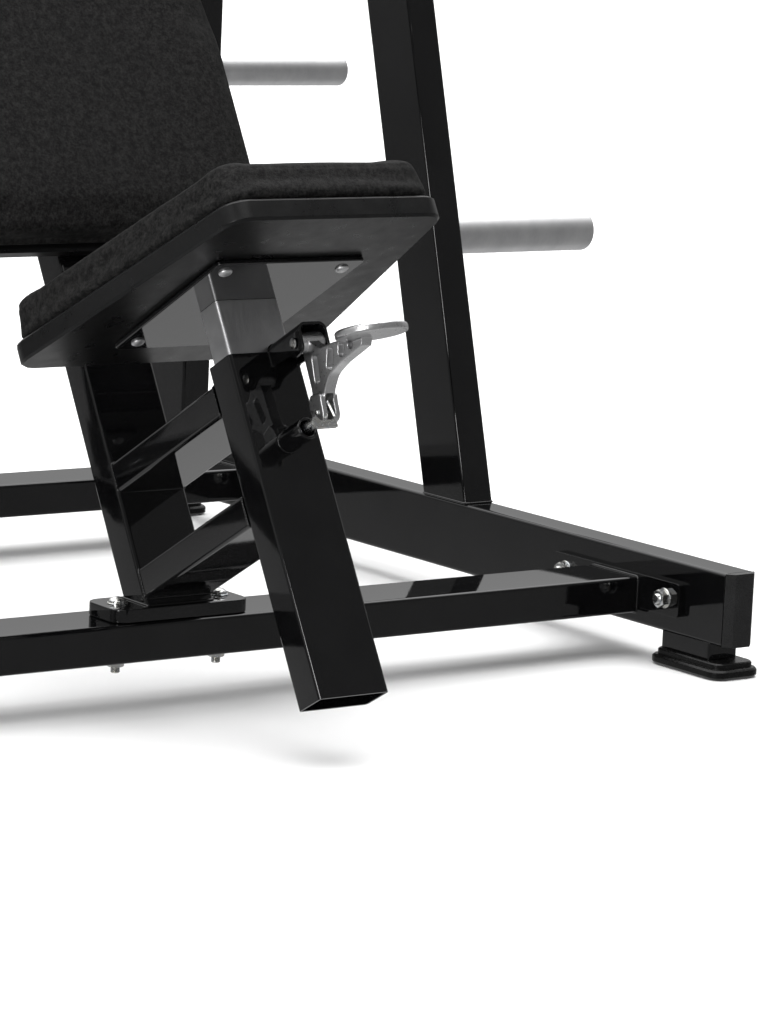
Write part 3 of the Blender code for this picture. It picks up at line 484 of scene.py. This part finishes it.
def build_grips():
    """Ribbed rubber grips with a flange at each end."""
    for side in SIDES:
        name = f"hand_grip_{side}"
        low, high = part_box(name)
        centre = (low + high) / 2
        length = high.x - low.x
        bore, body, flange = 0.0153, 0.0190, 0.0225
        rows = [(bore, 0), (flange - 0.001, 0), (flange, 0.001), (flange, 0.004)]
        rows += [(flange - 0.001, 0.005), (body, 0.0065)]
        ribs, plain = 26, 0.010
        for rib in range(ribs):
            start = plain + rib * (length - 2 * plain) / ribs
            rows += [(body - 0.0009, start), (body - 0.0009, start + 0.0016)]
            rows += [(body, start + 0.0024), (body, start + 0.0042)]
        rows += [(body, length - 0.0065), (flange - 0.001, length - 0.005), (flange, length - 0.004)]
        rows += [(flange, length - 0.001), (flange - 0.001, length), (bore, length)]
        place = axes((0, 1, 0), (1, 0, 0), (low.x, centre.y, centre.z))
        made = piece(f"ribbed_{name}", lathe(rows, 64), "black_rubber", BODY[name], place, 40)
        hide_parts(name)


def build_flange_bolts():
    """Cross-member flanges: nuts inside, heads on the rails' outer faces."""
    for end in ENDS:
        low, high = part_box(f"{end}_cross_member")
        centre = (low + high) / 2
        for side in (-1, 1):
            name = SIDES[side > 0]
            rail_low, rail_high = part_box(f"rail_{name}")
            outer = rail_high.x if side > 0 else rail_low.x
            inner = side * (high.x - FLANGE)
            for index, along in enumerate((-FLANGE_BOLT_ALONG, FLANGE_BOLT_ALONG)):
                place = axes((0, 1, 0), (-side, 0, 0), (inner, centre.y + along, FLANGE_BOLT_Z))
                shape = lathe(hex_nut(0.022, 0.0108, 0.004))
                piece(f"{end}_flange_nut_{name}_{index}", shape, "bright_zinc", "root", place)
                place = axes((0, 1, 0), (side, 0, 0), (outer, centre.y + along, FLANGE_BOLT_Z))
                shape = lathe(hex_head(0.022, 0.009))
                piece(f"{end}_rail_bolt_{name}_{index}", shape, "bright_zinc", "root", place)


def build_spine_bolts():
    """Domed heads on the spine's foot, nuts and threads under the cross-member."""
    for side in SIDES:
        name = f"spine_bolt_{side}"
        low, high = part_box(name)
        centre = (low + high) / 2
        foot_top = high.z - FOOT_TO_HEAD_TOP - GAP
        member_bottom = low.z + NUT_TO_BOLT_END + GAP
        head = piece(
            f"domed_head_{side}", lathe(dome_head(0.0112, 0.0070, 0.0130)), "bright_zinc", "root",
            Matrix.Translation((centre.x, centre.y, foot_top)), 40,
        )
        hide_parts(name)
        place = axes((1, 0, 0), (0, 0, -1), (centre.x, centre.y, member_bottom))
        piece(f"spine_nut_{side}", lathe(hex_nut(0.019, 0.0095, 0.008)), "bright_zinc", "root", place)


def build_pad_bolts():
    """Button heads under the seat plate and on the back pad's mount."""
    low, high = span("seat_plate", RECLINE)
    across, front, rear = 0.084, -0.083, 0.130
    corners = ((-across, front), (across, front), (-across, rear), (across, rear))
    for index, (x, y) in enumerate(corners):
        place = RECLINE @ Matrix.Translation((x, y, low.z)) @ Matrix.Rotation(math.pi, 4, "X")
        shape = lathe(dome_head(0.0085, 0.0050))
        piece(f"seat_button_{index}", shape, "satin_steel", "seat_carriage", place, 40)
    low, high = span("back_pad_mount", RECLINE)
    across, bottom, top = 0.085, low.z + 0.040, high.z - 0.040
    corners = ((-across, bottom), (across, bottom), (-across, top), (across, top))
    for index, (x, z) in enumerate(corners):
        place = RECLINE @ Matrix.Translation((x, high.y, z)) @ Matrix.Rotation(-math.pi / 2, 4, "X")
        shape = lathe(dome_head(0.0085, 0.0050))
        piece(f"back_button_{index}", shape, "satin_steel", "root", place, 40)


def build_bracket_bolts():
    """Two hex bolts hold each pivot bracket down between its lugs."""
    for side in SIDES:
        low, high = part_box(f"pivot_bracket_{side}")
        centre = (low + high) / 2
        for index, along in enumerate((-0.034, 0.034)):
            place = Matrix.Translation((centre.x + along, centre.y, low.z + 0.008))
            shape = lathe(hex_head(0.019, 0.0085))
            piece(f"bracket_bolt_{side}_{index}", shape, "bright_zinc", "root", place)


def build_release():
    """Cast lever with softened edges, its pin and the plunger's housing."""
    node = NODES["release_lever"]
    mesh = node.data.copy()
    lever = new_object("cast_lever", mesh)
    drop_shading(mesh)
    remesh = lever.modifiers.new("cast_skin", "REMESH")
    remesh.mode = "VOXEL"
    remesh.voxel_size = 0.00075
    remesh.use_smooth_shade = True
    soften = lever.modifiers.new("soft_edges", "SMOOTH")
    soften.factor = 0.5
    soften.iterations = 7
    apply_modifiers(lever)
    lever.data.materials.clear()
    lever.data.materials.append(FINISH["cast_aluminium"])
    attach(lever, "release_lever")
    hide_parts("release_lever")

    low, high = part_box("lever_pin")
    centre = (low + high) / 2
    length = high.x - low.x
    head, shank = 0.0066, 0.0040
    rows = [(0, 0), (0.0045, 0), (head, 0.0006), (head, 0.0016), (shank, 0.0022)]
    rows += [(shank, length - 0.0022), (head, length - 0.0016), (head, length - 0.0006)]
    rows += [(0.0045, length), (0, length)]
    place = axes((0, 1, 0), (1, 0, 0), (low.x, centre.y, centre.z))
    made = piece("headed_lever_pin", lathe(rows), "bright_zinc", "root", place, 40)
    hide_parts("lever_pin")

    low, high = span("plunger_housing", RECLINE)
    centre = (low + high) / 2
    length = high.y - low.y
    bore, radius = 0.0095, 0.0140
    rows = [(bore, 0), (radius, 0)] + rounded(radius, length, 0.0018)
    rows += [(0.0112, length), (0.0100, length - 0.0008), (bore, length - 0.0016)]
    place = RECLINE @ axes((1, 0, 0), (0, -1, 0), (centre.x, high.y, centre.z))
    made = piece("turned_housing", lathe(rows, 64), "gloss_black_paint", "root", place, 50)
    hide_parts("plunger_housing")


def apply_modifiers(made):
    """The object's mesh becomes what its modifiers make of it."""
    bpy.context.view_layer.update()
    graph = bpy.context.evaluated_depsgraph_get()
    mesh = bpy.data.meshes.new_from_object(made.evaluated_get(graph))
    made.modifiers.clear()
    made.data = mesh


# Welds


def round_trip(loop):
    return sum((a - b).length for a, b in zip(loop, loop[1:] + loop[:1]))


def outer_loop(node, origin, normal):
    """Points round the outside of a node where this plane cuts it."""
    shape = bmesh.new()
    shape.from_mesh(NODES[node].data)
    bmesh.ops.remove_doubles(shape, verts=shape.verts, dist=0.00001)
    geometry = shape.verts[:] + shape.edges[:] + shape.faces[:]
    bmesh.ops.bisect_plane(
        shape, geom=geometry, plane_co=origin, plane_no=normal,
        clear_inner=True, clear_outer=True, dist=0.000001,
    )
    left = set(shape.verts)
    loops = []
    while left:
        vertex = min(left, key=lambda item: item.co[:])
        loop = []
        while vertex:
            left.discard(vertex)
            loop.append(vertex.co.copy())
            ahead = [edge.other_vert(vertex) for edge in vertex.link_edges]
            vertex = next((item for item in ahead if item in left), None)
        loops.append(loop)
    shape.free()
    return max(loops, key=round_trip)


def bead(name, node, origin, normal, radius=0.0017):
    """Rippled weld bead round a node where this plane cuts it."""
    loop = outer_loop(node, Vector(origin), Vector(normal))
    step, ripple, sides = 0.0012, 0.0036, 8
    path = []
    for start, end in zip(loop, loop[1:] + loop[:1]):
        count = max(1, round((end - start).length / step))
        path += [start.lerp(end, index / count) for index in range(count)]
    normal = Vector(normal).normalized()
    shape = bmesh.new()
    rings = []
    travelled = 0.0
    for index, point in enumerate(path):
        before, after = path[index - 1], path[(index + 1) % len(path)]
        travelled += (point - before).length
        ahead = (after - before).normalized()
        across = normal.cross(ahead).normalized()
        wave = 0.10 * math.sin(travelled * 2 * math.pi / ripple)
        swell = radius * (1 + wave + 0.06 * noise.noise(point * 180))
        ring = []
        for corner in range(sides):
            turn = 2 * math.pi * corner / sides
            out = across * math.cos(turn) + normal * math.sin(turn)
            ring.append(shape.verts.new(point + out * swell))
        rings.append(ring)
    for first, second in zip(rings, rings[1:] + rings[:1]):
        for corner in range(sides):
            after = (corner + 1) % sides
            shape.faces.new((first[corner], first[after], second[after], second[corner]))
    return piece(name, shape, SLOT[node], "root", sharp=80)


def build_welds():
    """Beads where the tubes meet the rails, flanges, foot plate, sleeve and spine."""
    level_up = (0, 0, 1)
    inset = WELD_INSET
    for side in SIDES:
        outward = 1 if side == "right" else -1
        rail_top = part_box(f"rear_upright_{side}")[0].z + inset
        bead(f"weld_front_upright_{side}", f"front_upright_{side}", (0, 0, rail_top), level_up)
        bead(f"weld_rear_upright_{side}", f"rear_upright_{side}", (0, 0, rail_top), level_up)
        low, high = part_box(f"side_beam_{side}")
        bead(f"weld_beam_rear_{side}", f"side_beam_{side}", (0, high.y - inset, 0), (0, 1, 0))
        lean = math.radians(15.5)
        slant = Vector((0, math.cos(lean), -math.sin(lean)))
        corner = Vector((0, low.y, low.z)) + slant * inset
        bead(f"weld_beam_front_{side}", f"side_beam_{side}", corner, slant)
        for end in ENDS:
            inner = (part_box(f"{end}_cross_member")[1].x - FLANGE - inset) * outward
            bead(f"weld_{end}_flange_{side}", f"{end}_cross_member", (inner, 0, 0), (1, 0, 0))
        outer = (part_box("top_cross_member")[1].x - inset) * outward
        bead(f"weld_top_{side}", "top_cross_member", (outer, 0, 0), (1, 0, 0))
    foot_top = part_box("spine_bolt_left")[1].z - FOOT_TO_HEAD_TOP - GAP
    bead("weld_spine_foot", "spine", (0, 0, foot_top + inset), level_up)
    bead("weld_spine_top", "spine", (0, 0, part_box("spine")[1].z - inset), level_up)
    for name in ("upper_strut", "lower_strut"):
        low, high = span(name, RECLINE)
        front = RECLINE @ Vector((0, low.y + inset, 0))
        rear = RECLINE @ Vector((0, high.y - inset, 0))
        bead(f"weld_{name}_front", name, front, SLOPE_BACK, 0.0015)
        bead(f"weld_{name}_rear", name, rear, SLOPE_BACK, 0.0015)
    on_sleeve = RECLINE @ Vector((0, -0.0009, 0))
    bead("weld_lever_bracket", "lever_bracket", on_sleeve, SLOPE_BACK, 0.0012)
    bead("weld_plunger_housing", "plunger_housing", on_sleeve, SLOPE_BACK, 0.0012)


# Cushions


def away_from_board(node):
    """Away from the cushion's board, in the reclined frame."""
    return Vector((0, 0, 1)) if node == "seat_cushion" else Vector((0, -1, 0))


def start_cushion(name, node):
    """Cloth copy of a cushion's solid in the reclined frame, pinned at its back, narrower all round."""
    local = RECLINE.inverted()
    across = away_from_board(node)
    mesh = NODES[node].data.copy()
    mesh.transform(local)
    low, high = span(node, RECLINE)
    middle_point = (low + high) / 2
    base = min(low.dot(across), high.dot(across))
    for vertex in mesh.vertices:
        offset = vertex.co - middle_point
        for axis in range(3):
            if abs(across[axis]) < 0.5:
                half = (high[axis] - low[axis]) / 2
                vertex.co[axis] = middle_point[axis] + offset[axis] * (half - CUSHION_INSET) / half
    made = new_object(name, mesh)
    remesh = made.modifiers.new("even_skin", "REMESH")
    remesh.mode = "VOXEL"
    remesh.voxel_size = VOXEL
    apply_modifiers(made)
    pinned = made.vertex_groups.new(name="back_face")
    for vertex in made.data.vertices:
        rise = vertex.co.dot(across) - base
        pinned.add([vertex.index], 1.0 if rise < BACK_FACE else 0.0, "REPLACE")
    cloth = made.modifiers.new("pad_cover", "CLOTH")
    cloth.settings.use_pressure = True
    cloth.settings.uniform_pressure_force = 4.0
    cloth.settings.vertex_group_mass = "back_face"
    cloth.settings.effector_weights.gravity = 0.0
    cloth.settings.quality = 5
    cloth.settings.tension_stiffness = 15
    cloth.settings.compression_stiffness = 15
    cloth.settings.bending_stiffness = 0.5
    cloth.point_cache.frame_start = 1
    cloth.point_cache.frame_end = FRAMES
    return made


def finish_cushion(made, node, cap, simulated):
    """The simulated skin, moved no further than cap, with its seam, put back in place."""
    across = away_from_board(node)
    before = [vertex.co.copy() for vertex in made.data.vertices]
    if simulated:
        graph = bpy.context.evaluated_depsgraph_get()
        swollen = made.evaluated_get(graph)
        after = [vertex.co.copy() for vertex in swollen.data.vertices]
    else:
        after = before
    made.modifiers.clear()
    low, high = span(node, RECLINE)
    base = min(low.dot(across), high.dot(across))
    top = max(low.dot(across), high.dot(across))
    for vertex, old, new in zip(made.data.vertices, before, after):
        move = new - old
        if move.length > cap:
            move *= cap / move.length
        vertex.co = old + move
        rise = vertex.co.dot(across)
        if rise < base:
            vertex.co += across * (base - rise)
    smooth = made.modifiers.new("even_cover", "SMOOTH")
    smooth.factor = 0.5
    smooth.iterations = 3
    fine = made.modifiers.new("fine_skin", "SUBSURF")
    fine.levels = 1
    fine.render_levels = 1
    apply_modifiers(made)
    seam = top - SEAM_BELOW_TOP
    normals = [vertex.normal.copy() for vertex in made.data.vertices]
    for vertex, normal in zip(made.data.vertices, normals):
        rise = vertex.co.dot(across)
        side_facing = 1 - abs(normal.dot(across))
        depth = SEAM_DEPTH * math.exp(-(((rise - seam) / SEAM_WIDTH) ** 2))
        vertex.co -= normal * (depth * side_facing)
    made.data.transform(RECLINE)
    made.data.shade_smooth()
    made.data.materials.clear()
    made.data.materials.append(FINISH["black_upholstery"])
    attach(made, BODY[node])
    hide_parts(node)


def build_cushions():
    """Both pads are simulated together, one frame at a time."""
    pads = [("padded_seat", "seat_cushion", 0.006), ("padded_back", "back_cushion", 0.007)]
    made = [start_cushion(name, node) for name, node, cap in pads]
    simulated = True
    if simulated:
        for frame_number in range(1, FRAMES + 1):
            bpy.context.scene.frame_set(frame_number)
    for cushion, (name, node, cap) in zip(made, pads):
        finish_cushion(cushion, node, cap, simulated)


# Studio


def gradient(tree, source, stops):
    """Grey that follows source through (position, value) stops."""
    ramp = add(tree, "ValToRGB", Fac=source)
    elements = ramp.color_ramp.elements
    while len(elements) < len(stops):
        elements.new(0.5)
    for element, (position, value) in zip(elements, stops):
        element.position = position
        element.color = (value, value, value, 1)
    return ramp.outputs["Color"]


def build_world():
    """Studio dome: bright overhead, dim at eye level, darker in front; the camera sees plain white."""
    world = bpy.data.worlds.new("studio")
    world.use_nodes = True
    tree = world.node_tree
    tree.nodes.clear()
    direction = add(tree, "SeparateXYZ", Vector=add(tree, "TexCoord").outputs["Generated"])
    share = level(tree, direction.outputs["Z"], 0.0, 1.0, -1.0, 1.0)
    back_stops = [(0.0, 0.36), (0.2, 0.30), (0.37, 0.26), (0.415, 0.17), (0.455, 0.105)]
    back_stops += [(0.50, 0.14), (0.585, 0.24), (0.75, 0.60), (0.88, 1.7), (1.0, 2.2)]
    front_stops = [(0.0, 0.16), (0.43, 0.130), (0.50, 0.095), (0.86, 0.095), (0.93, 1.6), (1.0, 2.2)]
    turn = level(tree, direction.outputs["Y"], 0.0, 1.0, -0.20, 0.30)
    both = add(tree, "Mix", data_type="RGBA")
    tree.links.new(turn, both.inputs["Factor"])
    tree.links.new(gradient(tree, share, front_stops), both.inputs[6])
    tree.links.new(gradient(tree, share, back_stops), both.inputs[7])
    dome = both.outputs[2]
    seen = add(tree, "Background", Color=(1, 1, 1, 1), Strength=1.0).outputs["Background"]
    lit = add(tree, "Background", Color=dome, Strength=2.0).outputs["Background"]
    camera_ray = add(tree, "LightPath").outputs["Is Camera Ray"]
    mix = add(tree, "MixShader")
    tree.links.new(camera_ray, mix.inputs[0])
    tree.links.new(lit, mix.inputs[1])
    tree.links.new(seen, mix.inputs[2])
    output = add(tree, "OutputWorld")
    tree.links.new(mix.outputs[0], output.inputs["Surface"])
    bpy.context.scene.world = world


def build_floor():
    """Pale studio floor, out of the way of mirror reflections."""
    mesh = bpy.data.meshes.new("floor")
    size, below = 60, -0.001
    corners = [(x * size, y * size, below) for x, y in ((-1, -1), (1, -1), (1, 1), (-1, 1))]
    mesh.from_pydata(corners, [], [(0, 1, 2, 3)])
    floor = new_object("studio_floor", mesh)
    material, tree, shader = new_finish("studio_floor", Roughness=0.9, IOR=1.2)
    tint(tree, shader, grain(tree, 3, 3), (0.84, 0.84, 0.84), (0.86, 0.86, 0.86))
    mesh.materials.append(material)
    floor.visible_glossy = False


def soft_box(name, place, target, width, height, power):
    """Rectangular lamp that faces its target."""
    data = bpy.data.lights.new(name, "AREA")
    data.shape = "RECTANGLE"
    data.size, data.size_y = width, height
    data.energy = power
    light = new_object(name, data)
    light.location = place
    light.rotation_mode = "QUATERNION"
    light.rotation_quaternion = (Vector(target) - Vector(place)).to_track_quat("-Z", "Y")


def build_camera():
    """Long lens, low and to the left of the front."""
    yaw, pitch, roll = 0.6351, 0.1691, 0.0453
    data = bpy.data.cameras.new("camera")
    data.lens = 139.1
    data.sensor_width = 36
    data.clip_end = 200
    camera = new_object("camera", data)
    level_right = Vector((math.cos(yaw), -math.sin(yaw), 0))
    level_ahead = Vector((math.sin(yaw), math.cos(yaw), 0))
    ahead = level_ahead * math.cos(pitch) - Vector((0, 0, 1)) * math.sin(pitch)
    level_up = level_right.cross(ahead)
    right = level_right * math.cos(roll) + level_up * math.sin(roll)
    up = level_up * math.cos(roll) - level_right * math.sin(roll)
    turn = Matrix((right, up, -ahead)).transposed().to_4x4()
    camera.matrix_world = Matrix.Translation((-2.671, -4.4951, 1.0808)) @ turn
    bpy.context.scene.camera = camera


finish_nodes()
build_horns()
build_grips()
build_flange_bolts()
build_spine_bolts()
build_pad_bolts()
build_bracket_bolts()
build_release()
build_welds()
build_cushions()
build_world()
build_floor()
soft_box("corner_light", (-2.9, -2.2, 0.9), (0, 0, 0.4), 0.7, 2.0, 60)
build_camera()
bpy.context.scene.view_settings.view_transform = "Standard"
